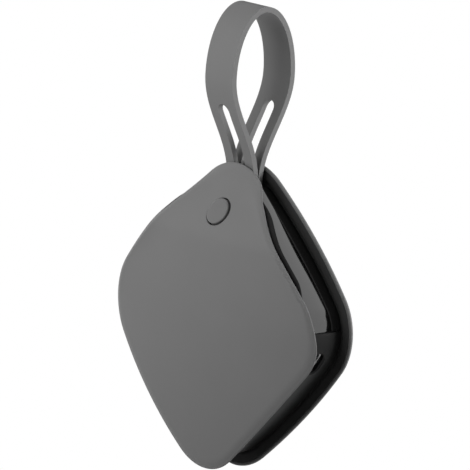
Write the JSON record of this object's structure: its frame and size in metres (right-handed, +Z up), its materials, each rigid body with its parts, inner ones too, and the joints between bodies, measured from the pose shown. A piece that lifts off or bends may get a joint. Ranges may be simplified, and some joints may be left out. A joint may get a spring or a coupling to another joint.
{
  "type": "rechargeable hand warmer",
  "caption": "Palm-size rounded-square hand warmer with two bowed soft-touch covers over a recessed gloss wall, a round power button, a charging port and a moulded wrist strap loop.",
  "frame": {"origin": "hanging point at the inside top of the wrist strap loop", "axes": "+Z up along the strap and the body's corner-to-corner line, -Y out of the front cover, +X to the right seen from the front"},
  "size_m": [0.1, 0.0289, 0.1518],
  "materials": {
    "cover_grey": "soft-touch coat, satin",
    "button_grey": "soft-touch coat, satin",
    "strap_silicone": "smooth moulded silicone",
    "carrier_black": "fine moulded texture",
    "trim_gloss_black": "high gloss",
    "frame_satin": "satin",
    "chassis_black": "moulded",
    "steel": "plated",
    "heat_plate": "rolled sheet",
    "heater_film": "polyimide film",
    "foam": "closed-cell foam",
    "cell_foil": "laminated pouch foil",
    "board_green": "solder mask",
    "chip_black": "moulded epoxy",
    "ferrite": "sintered",
    "socket_ivory": "moulded",
    "lead_red": "insulation",
    "lead_ivory": "insulation"
  },
  "bodies": {
    "strap": {"wrist_strap": "strap_silicone"},
    "housing": {"strap_post": "steel", "front_cover": "cover_grey", "front_carrier": "carrier_black", "front_heat_plate": "heat_plate", "front_heater_film": "heater_film", "front_foam_pad": "foam", "rear_cover": "cover_grey", "rear_carrier": "carrier_black", "rear_heat_plate": "heat_plate", "rear_heater_film": "heater_film", "rear_foam_pad": "foam", "upper_trim_right": "trim_gloss_black", "upper_trim_left": "trim_gloss_black", "lower_frame": "frame_satin", "chassis": "chassis_black", "front_case_screws": "steel", "rear_case_screws": "steel", "battery_cell": "cell_foil", "protection_board": "board_green", "battery_leads": "lead_red", "main_board": "board_green", "board_screws": "steel", "charging_port": "steel", "port_tongue": "chip_black", "power_inductor": "ferrite", "control_chip": "chip_black", "battery_socket": "socket_ivory", "front_heater_leads": "lead_ivory", "rear_heater_leads": "lead_ivory", "temperature_sensor": "chip_black", "button_board": "board_green", "switch_body": "chip_black"},
    "button": {"power_button": "button_grey"},
    "plunger": {"switch_plunger": "socket_ivory"}
  },
  "joints": [
    {"name": "strap_swing", "type": "hinge", "parent": "strap", "child": "housing", "pos_m": [0, 0, -0.0585], "axis": [0, 1, 0], "range_deg": [-10, 10]},
    {"name": "button_press", "type": "slide", "parent": "housing", "child": "button", "axis": [0, 0.866, -0.5], "range_m": [0, 0.0005], "stiffness_N_per_m": 3000, "springref_m": -0.0001},
    {"name": "plunger_press", "type": "slide", "parent": "housing", "child": "plunger", "axis": [0, 0.866, -0.5], "range_m": [0, 0.0005]}
  ],
  "couplings": [
    {"joint": "plunger_press", "follows": "button_press", "ratio": 1}
  ]
}
